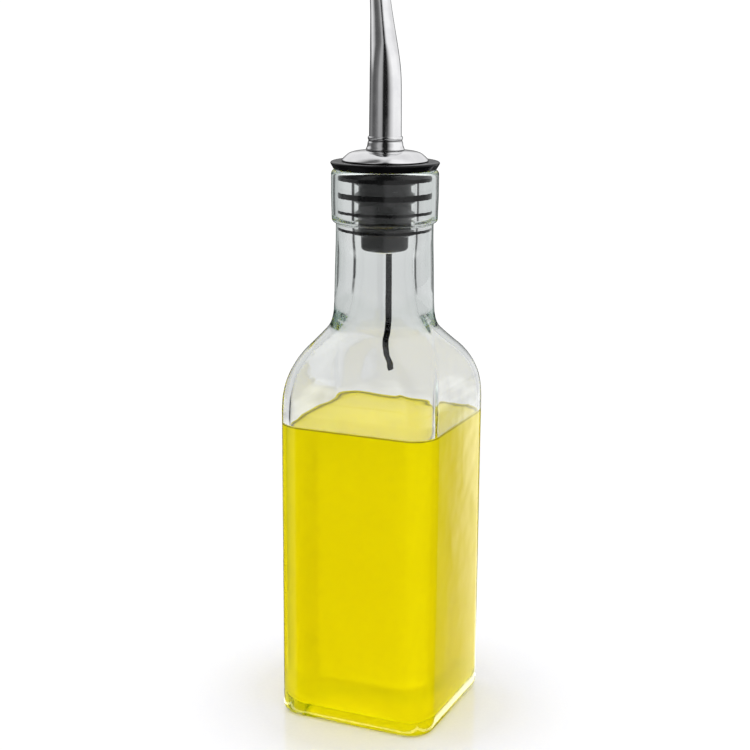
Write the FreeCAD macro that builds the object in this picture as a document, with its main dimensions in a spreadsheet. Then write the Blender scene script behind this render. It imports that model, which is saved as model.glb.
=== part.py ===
# Square glass oil bottle with a removable ribbed stopper and a swivelling bent steel pourer.
# Millimetres, +Z up. Origin: centre of the face the bottle stands on. The flat sides of the
# glass face +X, -X, +Y and -Y. The pourer leans towards the angle spout_yaw (from +X, about +Z).
#
# Bench order: the ribbed stopper pulls up out of the neck and brings the whole pourer with it;
# the pourer (spout tube, ferrule, dome cap, throat tube, breather tube) turns in the stopper's bore.
import FreeCAD, Part
import os
import math
import Sketcher

V = FreeCAD.Vector
doc = FreeCAD.newDocument("oil_bottle")

# ----------------------------------------------------------------------------- driving dimensions
DIMS = [
    # glass body
    ("body_width", 50.8, "across the flats"),
    ("body_corner", 8.0, "radius of the four upright corners, outside"),
    ("body_straight", 98.0, "height where the shoulder starts"),
    ("heel_radius", 2.0, "outer edge at the foot"),
    ("cavity_width", 46.0, "across the flats inside"),
    ("cavity_corner", 5.8, "radius of the upright corners inside"),
    ("cavity_floor", 2.9, "height of the inside floor at its edge"),
    ("cavity_heel", 5.6, "radius between the floor and the inside walls"),
    ("floor_crown", 1.3, "rise of the inside floor at its middle"),
    ("floor_crown_radius", 14.0, "radius of the risen part of the floor"),
    ("pushup_rise", 1.9, "hollow under the foot at its middle"),
    ("pushup_radius", 18.0, "radius of the hollow under the foot"),
    # glass neck and finish
    ("neck_start", 126.9, "height where the round neck starts"),
    ("neck_low_radius", 15.33, "neck outside at its foot"),
    ("neck_high_radius", 14.75, "neck outside under the finish band"),
    ("band_low", 154.4, "underside of the finish band"),
    ("band_low_radius", 15.65, "finish band at its lower edge"),
    ("band_high_radius", 16.2, "finish band near the lip"),
    ("band_edge", 0.9, "round on the lower edge of the band"),
    ("lip_top", 170.2, "top of the glass"),
    ("lip_round", 1.5, "outer round of the lip"),
    ("bore_radius", 9.25, "mouth bore, where the stopper seats"),
    ("throat_bore_radius", 8.78, "neck bore under the stopper's seat"),
    ("seat_bottom", 150.4, "height where the seat's bore ends"),
    ("bore_chamfer", 0.8, "chamfer at the mouth"),
    ("bore_bottom", 138.0, "height where the bore starts to widen"),
    # oil
    ("oil_level", 93.0, "height of the oil's surface"),
    ("oil_gap", 0.04, "gap between the oil and the glass"),
    # stopper
    ("fin_radius", 9.18, "rib tips"),
    ("core_radius", 8.0, "between the ribs"),
    ("nose_radius", 7.25, "plain nose under the ribs"),
    ("nose_bottom", 146.0, "lower end of the nose"),
    ("stopper_bore", 4.43, "bore that the throat tube turns in"),
    ("flange_radius", 16.45, "head of the stopper"),
    ("flange_under_radius", 15.45, "underside of the head"),
    ("flange_top", 172.6, "top of the head"),
    # pourer
    ("dome_radius", 13.05, "rim of the dome cap"),
    ("dome_bottom", 172.66, "rim height"),
    ("dome_top", 175.95, "top of the dome at the ferrule"),
    ("sheet_wall", 0.6, "thickness of the pressed sheet"),
    ("spout_base_radius", 4.91, "spout tube outside at its foot"),
    ("spout_bend_radius", 4.78, "spout tube outside where the bend starts"),
    ("spout_past_bend_radius", 4.26, "spout tube outside where the bend ends"),
    ("spout_mid_radius", 3.12, "spout tube outside at the end of the drawn taper"),
    ("spout_tip_radius", 2.75, "spout tube outside at the tip"),
    ("spout_wall", 0.45, "wall of the spout tube"),
    ("spout_foot", 173.3, "lower end of the spout tube, under the dome"),
    ("bend_start", 193.0, "height where the bend starts"),
    ("bend_centre_radius", 20.0, "radius of the bend's centre line"),
    ("bend_angle", 35.0, "lean of the spout from upright, degrees"),
    ("spout_run", 34.0, "straight length past the bend"),
    ("tip_cut_angle", 40.0, "slant of the tip's cut from square, degrees"),
    ("spout_yaw", 120.8, "direction of the lean, degrees from +X about +Z"),
    ("throat_radius", 4.38, "throat tube outside"),
    ("throat_wall", 0.45, "wall of the throat tube"),
    ("throat_top", 178.0, "upper end of the throat tube, inside the spout tube"),
    ("flare_radius", 5.6, "rolled flare that holds the stopper"),
    ("breather_radius", 0.95, "air tube outside"),
    ("breather_bore", 0.6, "air tube inside"),
    ("breather_offset", 1.35, "air tube beside the pourer's centre line"),
    ("breather_foot", 109.4, "lower end of the air tube"),
]
sheet = doc.addObject("Spreadsheet::Sheet", "Dims")
D = {}
row_of = {}


def put(name, value, note=""):
    r = len(D) + 1
    sheet.set("A%d" % r, name)
    sheet.set("B%d" % r, "%.6g" % value)
    sheet.set("C%d" % r, note)
    sheet.setAlias("B%d" % r, name)
    D[name] = float("%.6g" % value)
    row_of[name] = r


for n, v, note in DIMS:
    put(n, v, note)

# Sections of the shoulder: height, half width across the flats, corner radius. The outline turns from
# the body's rounded square to the neck's circle, whose corner radius is all but its half width.
OUTER = [
    (98.0, 25.40, 8.00), (101.5, 25.28, 8.15), (105.0, 24.95, 8.70), (108.5, 24.28, 9.70),
    (112.0, 23.15, 11.10), (115.0, 21.75, 12.80), (118.0, 19.70, 14.50), (120.6, 17.80, 15.30),
    (122.6, 16.50, 15.60), (124.6, 15.80, 15.45), (126.9, 15.42, 15.36),
]
INNER = [
    (96.0, 23.00, 5.80), (101.5, 22.90, 6.00), (105.0, 22.55, 6.60), (108.5, 21.90, 7.80),
    (112.0, 20.70, 9.60), (115.0, 19.00, 11.30), (118.0, 16.80, 12.80), (120.6, 14.80, 13.30),
    (122.6, 13.40, 12.80), (125.5, 11.80, 11.55), (129.0, 10.30, 10.20), (133.0, 9.40, 9.38), (138.0, 8.86, 8.84),
]
for tag, table in (("outer", OUTER), ("inner", INNER)):
    for i, (z, h, r) in enumerate(table):
        c = "abcdefghijklmn"[i]
        put("%s_%s_level" % (tag, c), z, "shoulder section %s, height" % c)
        put("%s_%s_half" % (tag, c), h, "half width across the flats")
        put("%s_%s_corner" % (tag, c), r, "corner radius")
doc.recompute()


# ----------------------------------------------------------------------------- helpers
def new_body(label):
    b = doc.addObject("PartDesign::Body", label)
    b.Label = label
    return b


def plane(body, role):
    return [f for f in body.Origin.OriginFeatures if f.Role == role][0]


def sketch_on(body, name, role="XY_Plane", level=None, level_expr=None):
    sk = body.newObject("Sketcher::SketchObject", name)
    sk.AttachmentSupport = [(plane(body, role), "")]
    sk.MapMode = "FlatFace"
    if level is not None:
        sk.AttachmentOffset = FreeCAD.Placement(V(0, 0, level), FreeCAD.Rotation())
        if level_expr:
            sk.setExpression("AttachmentOffset.Base.z", level_expr)
    return sk


def dimension(sk, constraint, name, expr=None):
    i = sk.addConstraint(constraint)
    sk.renameConstraint(i, name)
    if expr:
        sk.setExpression("Constraints." + name, expr)
    return i


def rounded_square(sk, half, rad, half_expr, rad_expr):
    """Four lines and four tangent arcs about the sketch's origin, sized by two named constraints."""
    h, r = half, rad
    k = h - r
    L = [
        Part.LineSegment(V(-k, -h, 0), V(k, -h, 0)),
        Part.LineSegment(V(h, -k, 0), V(h, k, 0)),
        Part.LineSegment(V(k, h, 0), V(-k, h, 0)),
        Part.LineSegment(V(-h, k, 0), V(-h, -k, 0)),
    ]
    A = []
    for i, (cx, cy) in enumerate([(k, -k), (k, k), (-k, k), (-k, -k)]):
        A.append(
            Part.ArcOfCircle(
                Part.Circle(V(cx, cy, 0), V(0, 0, 1), r),
                math.radians(-90 + 90 * i),
                math.radians(90 * i),
            )
        )
    for i in range(4):
        sk.addGeometry(L[i], False)
        sk.addGeometry(A[i], False)
    con = []
    for i in range(4):
        li, ai, nx = 2 * i, 2 * i + 1, (2 * i + 2) % 8
        con.append(Sketcher.Constraint("Tangent", li, 2, ai, 1))
        con.append(Sketcher.Constraint("Tangent", ai, 2, nx, 1))
    con += [Sketcher.Constraint("Horizontal", 0), Sketcher.Constraint("Vertical", 2),
            Sketcher.Constraint("Horizontal", 4), Sketcher.Constraint("Vertical", 6),
            Sketcher.Constraint("Equal", 1, 3), Sketcher.Constraint("Equal", 1, 5), Sketcher.Constraint("Equal", 1, 7)]
    sk.addConstraint(con)
    dimension(sk, Sketcher.Constraint("DistanceY", -1, 1, 4, 1, h), "half_back", half_expr)
    dimension(sk, Sketcher.Constraint("DistanceY", 0, 1, -1, 1, h), "half_front", half_expr)
    dimension(sk, Sketcher.Constraint("DistanceX", -1, 1, 2, 1, h), "half_right", half_expr)
    dimension(sk, Sketcher.Constraint("DistanceX", 6, 1, -1, 1, h), "half_left", half_expr)
    dimension(sk, Sketcher.Constraint("Radius", 1, r), "corner", rad_expr)
    return sk


def circle(sk, x, y, r, r_expr, name="radius"):
    i = sk.addGeometry(Part.Circle(V(x, y, 0), V(0, 0, 1), r), False)
    if abs(x) < 1e-9 and abs(y) < 1e-9:
        sk.addConstraint(Sketcher.Constraint("Coincident", i, 3, -1, 1))
    else:
        sk.addConstraint(Sketcher.Constraint("DistanceX", -1, 1, i, 3, x))
        sk.addConstraint(Sketcher.Constraint("DistanceY", -1, 1, i, 3, y))
    dimension(sk, Sketcher.Constraint("Radius", i, r), name, r_expr)
    return i


def profile(sk, points):
    """A closed outline of straight edges for a turned piece: points are (radius, height), each either a
    number or an expression of the sheet. Every corner is placed by two named dimensions."""
    def val(e):
        return eval_dim(e) if isinstance(e, str) else float(e)

    P = [(val(a), val(b)) for a, b in points]
    n = len(P)
    for i in range(n):
        a, b = P[i], P[(i + 1) % n]
        sk.addGeometry(Part.LineSegment(V(a[0], a[1], 0), V(b[0], b[1], 0)), False)
    con = [Sketcher.Constraint("Coincident", i, 2, (i + 1) % n, 1) for i in range(n)]
    sk.addConstraint(con)
    for i in range(n):
        ex, ey = points[i]
        x, y = P[i]
        if abs(x) < 1e-9:
            sk.addConstraint(Sketcher.Constraint("PointOnObject", i, 1, -2))
        else:
            dimension(sk, Sketcher.Constraint("DistanceX", -1, 1, i, 1, x), "px%d" % i, expr_of(ex))
        dimension(sk, Sketcher.Constraint("DistanceY", -1, 1, i, 1, y), "py%d" % i, expr_of(ey))
    return sk


def eval_dim(e):
    """The value of a sheet expression written with plain alias names, sums, differences and products."""
    total = 0.0
    for sign, term in terms(e):
        p = 1.0
        for f in term.split("*"):
            f = f.strip()
            p *= D[f] if f in D else float(f)
        total += sign * p
    return total


def terms(e):
    out, sign, word = [], 1, ""
    for ch in e:
        if ch in "+-":
            if word.strip():
                out.append((sign, word.strip()))
            word, sign = "", (1 if ch == "+" else -1)
        else:
            word += ch
    out.append((sign, word.strip()))
    return out


def expr_of(e):
    if not isinstance(e, str):
        return None
    text = ""
    for sign, term in terms(e):
        part = " * ".join(("Dims." + f.strip()) if f.strip() in D else f.strip() for f in term.split("*"))
        text += (" + " if sign > 0 else " - ") + part
    return text[3:] if text.startswith(" + ") else text.strip()


def turned(body, name, points, subtract=False):
    """A Revolution or a Groove of a straight-edged outline about Z."""
    sk = sketch_on(body, name + "_sketch", "XZ_Plane")
    profile(sk, points)
    doc.recompute()
    f = body.newObject("PartDesign::Groove" if subtract else "PartDesign::Revolution", name)
    f.Profile = sk
    f.ReferenceAxis = (sk, ["V_Axis"])
    f.Angle = 360.0
    sk.Visibility = False
    doc.recompute()
    return f


def arc_turned(body, name, geometry, constraints, dims, subtract=False):
    """A turned feature whose outline has arcs: geometry and constraints are given directly."""
    sk = sketch_on(body, name + "_sketch", "XZ_Plane")
    for g in geometry:
        sk.addGeometry(g, False)
    sk.addConstraint(constraints)
    for c, nm, ex in dims:
        dimension(sk, c, nm, ex)
    doc.recompute()
    f = body.newObject("PartDesign::Groove" if subtract else "PartDesign::Revolution", name)
    f.Profile = sk
    f.ReferenceAxis = (sk, ["V_Axis"])
    f.Angle = 360.0
    doc.recompute()
    return f


def edges_where(feature, test):
    return ["Edge%d" % (i + 1) for i, e in enumerate(feature.Shape.Edges) if test(e)]


def fillet(body, name, base, edges, radius, expr=None):
    f = body.newObject("PartDesign::Fillet", name)
    f.Base = (base, edges)
    f.Radius = radius
    if expr:
        f.setExpression("Radius", expr)
    doc.recompute()
    return f


def ring_at(z, r=None, tol=1e-3):
    """Edges that lie at height z, and on the circle of radius r if given."""
    def test(e):
        b = e.BoundBox
        if abs(b.ZMin - z) > tol or abs(b.ZMax - z) > tol:
            return False
        if r is None:
            return True
        p = e.valueAt(e.FirstParameter)
        return abs(math.hypot(p.x, p.y) - r) < 0.02
    return test


def shoulder(body, name, tag, table, subtract=False):
    """A loft through the rounded-square sections of one table."""
    sections = []
    for i, (z, h, r) in enumerate(table):
        c = "abcdefghijklmn"[i]
        sk = sketch_on(body, "%s_%s_section" % (tag, c), "XY_Plane", z, "Dims.%s_%s_level" % (tag, c))
        rounded_square(sk, h, r, "Dims.%s_%s_half" % (tag, c), "Dims.%s_%s_corner" % (tag, c))
        sections.append(sk)
    doc.recompute()
    f = body.newObject("PartDesign::SubtractiveLoft" if subtract else "PartDesign::AdditiveLoft", name)
    f.Profile = sections[0]
    f.Sections = sections[1:]
    f.Ruled = False
    doc.recompute()
    return f


# ----------------------------------------------------------------------------- glass bottle
glass = new_body("glass_bottle")
sk = sketch_on(glass, "foot_outline")
rounded_square(sk, D["body_width"] / 2, D["body_corner"], "Dims.body_width / 2", "Dims.body_corner")
doc.recompute()
pad = glass.newObject("PartDesign::Pad", "body_walls")
pad.Profile = sk
pad.Length = D["body_straight"]
pad.setExpression("Length", "Dims.body_straight")
doc.recompute()
heel = fillet(glass, "heel", pad, edges_where(pad, ring_at(0.0)), D["heel_radius"], "Dims.heel_radius")
shoulder(glass, "shoulder_outside", "outer", OUTER)
neck = turned(glass, "neck_and_band", [
    (0, "neck_start - 3"),
    ("neck_low_radius - 1.5", "neck_start - 3"),
    ("neck_low_radius", "neck_start"),
    ("neck_high_radius", "band_low - 3"),
    ("neck_high_radius", "band_low"),
    ("band_low_radius", "band_low"),
    ("band_high_radius", "band_low + 8.6"),
    ("band_high_radius", "lip_top"),
    (0, "lip_top"),
])
lip = fillet(glass, "lip_round_edge", neck, edges_where(neck, ring_at(D["lip_top"], D["band_high_radius"])), D["lip_round"], "Dims.lip_round")
band = fillet(glass, "band_round_edge", lip, edges_where(lip, ring_at(D["band_low"], D["band_low_radius"])), D["band_edge"], "Dims.band_edge")
under = fillet(glass, "under_band_fillet", band, edges_where(band, ring_at(D["band_low"], D["neck_high_radius"])), 0.5)

# the cavity: a square well, the inside of the shoulder, then the bore
sk = sketch_on(glass, "well_outline", "XY_Plane", INNER[0][0], "Dims.inner_a_level")
rounded_square(sk, D["cavity_width"] / 2, D["cavity_corner"], "Dims.cavity_width / 2", "Dims.cavity_corner")
doc.recompute()
before = glass.Shape.Volume
well = glass.newObject("PartDesign::Pocket", "well")
well.Profile = sk
well.Length = INNER[0][0] - D["cavity_floor"]
well.setExpression("Length", "Dims.inner_a_level - Dims.cavity_floor")
well.Reversed = False
doc.recompute()
if glass.Shape.Volume > before - 1000:
    well.Reversed = True
    doc.recompute()
floor_edges = edges_where(well, lambda e: abs(e.BoundBox.ZMin - D["cavity_floor"]) < 1e-3 and abs(e.BoundBox.ZMax - D["cavity_floor"]) < 1e-3)
inner_heel = fillet(glass, "inner_heel", well, floor_edges, D["cavity_heel"], "Dims.cavity_heel")
inner_sh = shoulder(glass, "shoulder_inside", "inner", INNER, subtract=True)
bore = turned(glass, "bore", [
    (0, "bore_bottom - 0.3"),
    ("throat_bore_radius", "bore_bottom - 0.3"),
    ("throat_bore_radius", "seat_bottom - 9"),
    ("bore_radius", "seat_bottom"),
    ("bore_radius", "lip_top - bore_chamfer"),
    ("bore_radius + bore_chamfer", "lip_top"),
    ("bore_radius + bore_chamfer", "lip_top + 1"),
    (0, "lip_top + 1"),
], subtract=True)


def cap_outline(radius, rise, base, base_expr, up, rad_expr, rise_expr):
    """Outline of a shallow round cap on the axis: a foot line, an arc and the axis."""
    big = (radius * radius + rise * rise) / (2 * rise)
    a = math.asin(radius / big)
    cy = base + rise - big
    return [
        Part.LineSegment(V(0, base, 0), V(radius, base, 0)),
        Part.ArcOfCircle(Part.Circle(V(0, cy, 0), V(0, 0, 1), big), math.pi / 2 - a, math.pi / 2),
        Part.LineSegment(V(0, base + rise, 0), V(0, base, 0)),
    ], [
        Sketcher.Constraint("Coincident", 0, 2, 1, 1),
        Sketcher.Constraint("Coincident", 1, 2, 2, 1),
        Sketcher.Constraint("Coincident", 2, 2, 0, 1),
        Sketcher.Constraint("PointOnObject", 0, 1, -2),
        Sketcher.Constraint("PointOnObject", 1, 3, -2),
        Sketcher.Constraint("Vertical", 2),
        Sketcher.Constraint("Horizontal", 0),
    ]


# hollow under the foot
g, c = cap_outline(D["pushup_radius"], D["pushup_rise"], 0.0, None, 1, None, None)
c[3] = Sketcher.Constraint("Coincident", 0, 1, -1, 1)
push = arc_turned(glass, "pushup", g, c, [
    (Sketcher.Constraint("DistanceX", 0, 1, 0, 2, D["pushup_radius"]), "reach", "Dims.pushup_radius"),
    (Sketcher.Constraint("DistanceY", 2, 2, 2, 1, D["pushup_rise"]), "rise", "Dims.pushup_rise"),
], subtract=True)
# risen floor inside
g, c = cap_outline(D["floor_crown_radius"], D["floor_crown"], D["cavity_floor"] - 0.0, None, 1, None, None)
crown = arc_turned(glass, "floor_rise", g, c, [
    (Sketcher.Constraint("DistanceY", -1, 1, 0, 1, D["cavity_floor"]), "level", "Dims.cavity_floor"),
    (Sketcher.Constraint("DistanceX", 0, 1, 0, 2, D["floor_crown_radius"]), "reach", "Dims.floor_crown_radius"),
    (Sketcher.Constraint("DistanceY", 2, 2, 2, 1, D["floor_crown"]), "rise", "Dims.floor_crown"),
])
glass.Tip = crown
doc.recompute()
print("glass volume mm3 %.0f, solids %d" % (glass.Shape.Volume, len(glass.Shape.Solids)))

# ----------------------------------------------------------------------------- oil
oil = new_body("oil_fill")
sk = sketch_on(oil, "oil_outline", "XY_Plane", D["cavity_floor"] + D["oil_gap"], "Dims.cavity_floor + Dims.oil_gap")
rounded_square(sk, D["cavity_width"] / 2 - D["oil_gap"], D["cavity_corner"] - D["oil_gap"],
               "Dims.cavity_width / 2 - Dims.oil_gap", "Dims.cavity_corner - Dims.oil_gap")
doc.recompute()
opad = oil.newObject("PartDesign::Pad", "oil_column")
opad.Profile = sk
opad.Length = D["oil_level"] - D["cavity_floor"] - D["oil_gap"]
opad.setExpression("Length", "Dims.oil_level - Dims.cavity_floor - Dims.oil_gap")
doc.recompute()
oheel = fillet(oil, "oil_heel", opad, edges_where(opad, ring_at(D["cavity_floor"] + D["oil_gap"])), D["cavity_heel"], "Dims.cavity_heel")
g, c = cap_outline(D["floor_crown_radius"] + 0.5, D["floor_crown"] + 0.05, D["cavity_floor"] + D["oil_gap"], None, 1, None, None)
ocrown = arc_turned(oil, "oil_over_floor_rise", g, c, [
    (Sketcher.Constraint("DistanceY", -1, 1, 0, 1, D["cavity_floor"] + D["oil_gap"]), "level", "Dims.cavity_floor + Dims.oil_gap"),
    (Sketcher.Constraint("DistanceX", 0, 1, 0, 2, D["floor_crown_radius"] + 0.5), "reach", "Dims.floor_crown_radius + 0.5"),
    (Sketcher.Constraint("DistanceY", 2, 2, 2, 1, D["floor_crown"] + 0.05), "rise", "Dims.floor_crown + 0.05"),
], subtract=True)
oil.Tip = ocrown
doc.recompute()
print("oil volume ml %.1f" % (oil.Shape.Volume / 1000))

# ----------------------------------------------------------------------------- stopper
# Four barbed ribs: each is widest at its upper edge and slopes in towards its lower side.
stopper = new_body("ribbed_stopper")
stop = turned(stopper, "ribbed_plug", [
    ("stopper_bore", "nose_bottom"),
    ("nose_radius - 0.5", "nose_bottom"),
    ("nose_radius", "nose_bottom + 0.5"),
    ("nose_radius", "nose_bottom + 4.6"),
    ("core_radius + 0.3", "nose_bottom + 4.9"),   # rib four
    ("fin_radius", "nose_bottom + 5.3"),
    ("fin_radius", "nose_bottom + 6.3"),
    ("core_radius", "nose_bottom + 6.9"),
    ("core_radius + 0.35", "nose_bottom + 10.2"),  # rib three
    ("fin_radius", "nose_bottom + 10.8"),
    ("fin_radius", "nose_bottom + 11.8"),
    ("core_radius", "nose_bottom + 12.4"),
    ("core_radius + 0.35", "nose_bottom + 14.6"),  # rib two
    ("fin_radius", "nose_bottom + 15.2"),
    ("fin_radius", "nose_bottom + 17.2"),
    ("core_radius", "nose_bottom + 17.8"),
    ("core_radius + 0.35", "nose_bottom + 19.8"),  # rib one
    ("fin_radius", "nose_bottom + 20.4"),
    ("fin_radius", "nose_bottom + 22.7"),
    ("core_radius", "nose_bottom + 23.2"),
    ("core_radius", "lip_top + 0.06"),
    ("flange_under_radius", "lip_top + 0.06"),
    ("flange_radius - 0.1", "flange_top - 0.75"),
    ("flange_radius", "flange_top - 0.5"),
    ("flange_radius - 0.25", "flange_top - 0.15"),
    ("dome_radius + 0.5", "flange_top"),
    ("stopper_bore", "flange_top"),
])
stopper.Tip = stop
doc.recompute()

# ----------------------------------------------------------------------------- dome cap (pressed sheet)
dome = new_body("dome_cap")
t = "sheet_wall"
dcap = turned(dome, "pressed_dome", [
    ("dome_radius", "dome_bottom"),
    ("dome_radius", "dome_bottom + 0.35"),
    ("dome_radius - 0.9", "dome_bottom + 1.25"),
    ("dome_radius - 2.1", "dome_bottom + 2.25"),
    ("dome_radius - 3.4", "dome_bottom + 2.72"),
    ("dome_radius - 5.4", "dome_bottom + 3.02"),
    ("spout_base_radius + 0.75", "dome_top - 0.1"),
    ("spout_base_radius + 0.12", "dome_top - 0.1"),
    ("spout_base_radius + 0.12", "dome_top - 0.1 - sheet_wall"),
    ("dome_radius - 5.4", "dome_bottom + 3.02 - sheet_wall"),
    ("dome_radius - 3.6", "dome_bottom + 2.72 - sheet_wall"),
    ("dome_radius - 2.45", "dome_bottom + 2.25 - sheet_wall"),
    ("dome_radius - 1.35", "dome_bottom + 1.25 - sheet_wall"),
    ("dome_radius - 0.75", "dome_bottom"),
])
dome.Tip = dcap
doc.recompute()

# ----------------------------------------------------------------------------- ferrule (turned ring)
ferrule = new_body("base_ferrule")
ring = turned(ferrule, "stepped_ring", [
    ("spout_base_radius + 0.12", "dome_top"),
    ("spout_base_radius + 0.85", "dome_top"),
    ("spout_base_radius + 0.85", "dome_top + 0.35"),
    ("spout_base_radius + 0.50", "dome_top + 1.1"),
    ("spout_base_radius + 0.36", "dome_top + 2.2"),
    ("spout_base_radius + 0.16", "dome_top + 2.6"),
    ("spout_base_radius + 0.16", "dome_top + 2.95"),
    ("spout_base_radius + 0.34", "dome_top + 3.2"),
    ("spout_base_radius + 0.34", "dome_top + 3.75"),
    ("spout_base_radius + 0.20", "dome_top + 4.0"),
    ("spout_base_radius + 0.12", "dome_top + 4.0"),
])
ferrule.Tip = ring
doc.recompute()

# ----------------------------------------------------------------------------- spout tube
# Centre line, in the plane of the lean: upright, then an arc, then straight.
beta = math.radians(D["bend_angle"])
Rb = D["bend_centre_radius"]
yaw = D["spout_yaw"]


def station(s):
    """(out, up, tilt) of the centre line a distance s past the start of the bend; s < 0 is upright."""
    arc = Rb * beta
    if s <= 0:
        return 0.0, D["bend_start"] + s, 0.0
    if s <= arc:
        a = s / Rb
        return Rb * (1 - math.cos(a)), D["bend_start"] + Rb * math.sin(a), a
    q = s - arc
    return (Rb * (1 - math.cos(beta)) + q * math.sin(beta),
            D["bend_start"] + Rb * math.sin(beta) + q * math.cos(beta), beta)


arc_len = Rb * beta
spout_total = arc_len + D["spout_run"]
SECTIONS = [
    (D["spout_foot"] - D["bend_start"], D["spout_base_radius"], "spout_base_radius"),
    (0.0, D["spout_bend_radius"], "spout_bend_radius"),
    (arc_len, D["spout_past_bend_radius"], "spout_past_bend_radius"),
    (arc_len + 19.0, D["spout_mid_radius"], "spout_mid_radius"),
    (spout_total, D["spout_tip_radius"], "spout_tip_radius"),
]
for i, (s, r, nm) in enumerate(SECTIONS):
    o, u, a = station(s)
    c = "abcdefg"[i]
    put("spout_%s_out" % c, o, "spout section %s, reach along the lean" % c)
    put("spout_%s_up" % c, u, "height")
doc.recompute()


def centre_line(body, name, extend=0.0):
    """Upright line, arc and straight line in the lean plane; extend lengthens both ends."""
    sk = sketch_on(body, name, "XZ_Plane")
    z0, z1 = D["spout_foot"] - extend, D["bend_start"]
    o1, u1, _ = station(arc_len)
    o2, u2, _ = station(spout_total + extend)
    sk.addGeometry(Part.LineSegment(V(0, z0, 0), V(0, z1, 0)), False)
    sk.addGeometry(Part.ArcOfCircle(Part.Circle(V(Rb, z1, 0), V(0, 0, 1), Rb), math.pi - beta, math.pi), False)
    sk.addGeometry(Part.LineSegment(V(o1, u1, 0), V(o2, u2, 0)), False)
    sk.addConstraint([
        Sketcher.Constraint("PointOnObject", 0, 1, -2),
        Sketcher.Constraint("Vertical", 0),
        Sketcher.Constraint("Tangent", 0, 2, 1, 2),
        Sketcher.Constraint("Tangent", 1, 1, 2, 1),
    ])
    dimension(sk, Sketcher.Constraint("DistanceY", -1, 1, 0, 1, z0), "foot", "Dims.spout_foot - %g" % extend if extend else "Dims.spout_foot")
    dimension(sk, Sketcher.Constraint("DistanceY", -1, 1, 0, 2, z1), "bend", "Dims.bend_start")
    dimension(sk, Sketcher.Constraint("Radius", 1, Rb), "bend_size", "Dims.bend_centre_radius")
    dimension(sk, Sketcher.Constraint("Distance", 2, 1, 2, 2, D["spout_run"] + extend), "run",
              "Dims.spout_run + %g" % extend if extend else "Dims.spout_run")
    sk.addConstraint(Sketcher.Constraint("DistanceX", 2, 1, 2, 2, o2 - o1))
    return sk


def drawn_tube(body, prefix, inner):
    """A pipe along the centre line through round sections square to it."""
    ext = 0.6 if inner else 0.0
    line = centre_line(body, prefix + "_centre_line", ext)
    skl = []
    n = len(SECTIONS)
    for i, (s, r, nm) in enumerate(SECTIONS):
        s2 = s - ext if i == 0 else (s + ext if i == n - 1 else s)
        o, u, a = station(s2)
        sk = sketch_on(body, "%s_%s_section" % (prefix, "abcdefg"[i]), "XY_Plane")
        sk.AttachmentOffset = FreeCAD.Placement(V(o, 0, u), FreeCAD.Rotation(V(0, 1, 0), math.degrees(a)))
        if s2 == s:
            sk.setExpression("AttachmentOffset.Base.x", "Dims.spout_%s_out" % "abcdefg"[i])
            sk.setExpression("AttachmentOffset.Base.z", "Dims.spout_%s_up" % "abcdefg"[i])
        circle(sk, 0, 0, r - (D["spout_wall"] if inner else 0.0), ("Dims." + nm) + (" - Dims.spout_wall" if inner else ""))
        skl.append(sk)
    doc.recompute()
    f = body.newObject("PartDesign::SubtractivePipe" if inner else "PartDesign::AdditivePipe", prefix)
    f.Profile = skl[0]
    f.Spine = (line, ["Edge1", "Edge2", "Edge3"])
    f.Sections = skl[1:]
    f.Mode = "Standard"
    f.Transformation = "Multisection"
    doc.recompute()
    return f


spout = new_body("spout_tube")
f = drawn_tube(spout, "tube_outside", False)
g2 = drawn_tube(spout, "tube_inside", True)
# slanted cut at the tip: the long side is the pouring lip on the outside of the bend
o, u, a = station(spout_total)
rt = D["spout_tip_radius"]
cut = math.radians(D["tip_cut_angle"])
sk = sketch_on(spout, "tip_cut_outline", "XZ_Plane")
# corner points in the lean plane: (reach, height)
ax = (math.sin(a), math.cos(a))          # along the tube
sd = (math.cos(a), -math.sin(a))         # across, towards the pouring lip
tipc = (o, u)
lipp = (tipc[0] + sd[0] * rt, tipc[1] + sd[1] * rt)
slope = (-sd[0] * math.cos(cut) - ax[0] * math.sin(cut), -sd[1] * math.cos(cut) - ax[1] * math.sin(cut))
far = 14.0
p0 = (lipp[0] - slope[0] * 1.0 + ax[0] * 0.0, lipp[1] - slope[1] * 1.0)
p1 = (lipp[0] + slope[0] * far, lipp[1] + slope[1] * far)
p2 = (p1[0] + ax[0] * 12, p1[1] + ax[1] * 12)
p3 = (p0[0] + ax[0] * 12, p0[1] + ax[1] * 12)
quad = [p0, p1, p2, p3]
for i in range(4):
    q, w = quad[i], quad[(i + 1) % 4]
    sk.addGeometry(Part.LineSegment(V(q[0], q[1], 0), V(w[0], w[1], 0)), False)
sk.addConstraint([Sketcher.Constraint("Coincident", i, 2, (i + 1) % 4, 1) for i in range(4)])
for i, q in enumerate(quad):
    sk.addConstraint(Sketcher.Constraint("DistanceX", -1, 1, i, 1, q[0]))
    sk.addConstraint(Sketcher.Constraint("DistanceY", -1, 1, i, 1, q[1]))
doc.recompute()
vol = spout.Shape.Volume
tip = spout.newObject("PartDesign::Pocket", "tip_cut")
tip.Profile = sk
tip.Length = 30
tip.Midplane = True
doc.recompute()
print("spout volume %.1f -> %.1f" % (vol, spout.Shape.Volume))
spout.Tip = tip
spout.Placement = FreeCAD.Placement(V(0, 0, 0), FreeCAD.Rotation(V(0, 0, 1), yaw))
doc.recompute()

# ----------------------------------------------------------------------------- throat tube
throat = new_body("throat_tube")
thr = turned(throat, "throat", [
    ("throat_radius - throat_wall", "nose_bottom - 0.55"),
    ("flare_radius", "nose_bottom - 0.55"),
    ("flare_radius", "nose_bottom - 0.10"),
    ("throat_radius", "nose_bottom - 0.10"),
    ("throat_radius", "throat_top"),
    ("throat_radius - throat_wall", "throat_top"),
])
throat.Tip = thr
doc.recompute()

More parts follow.
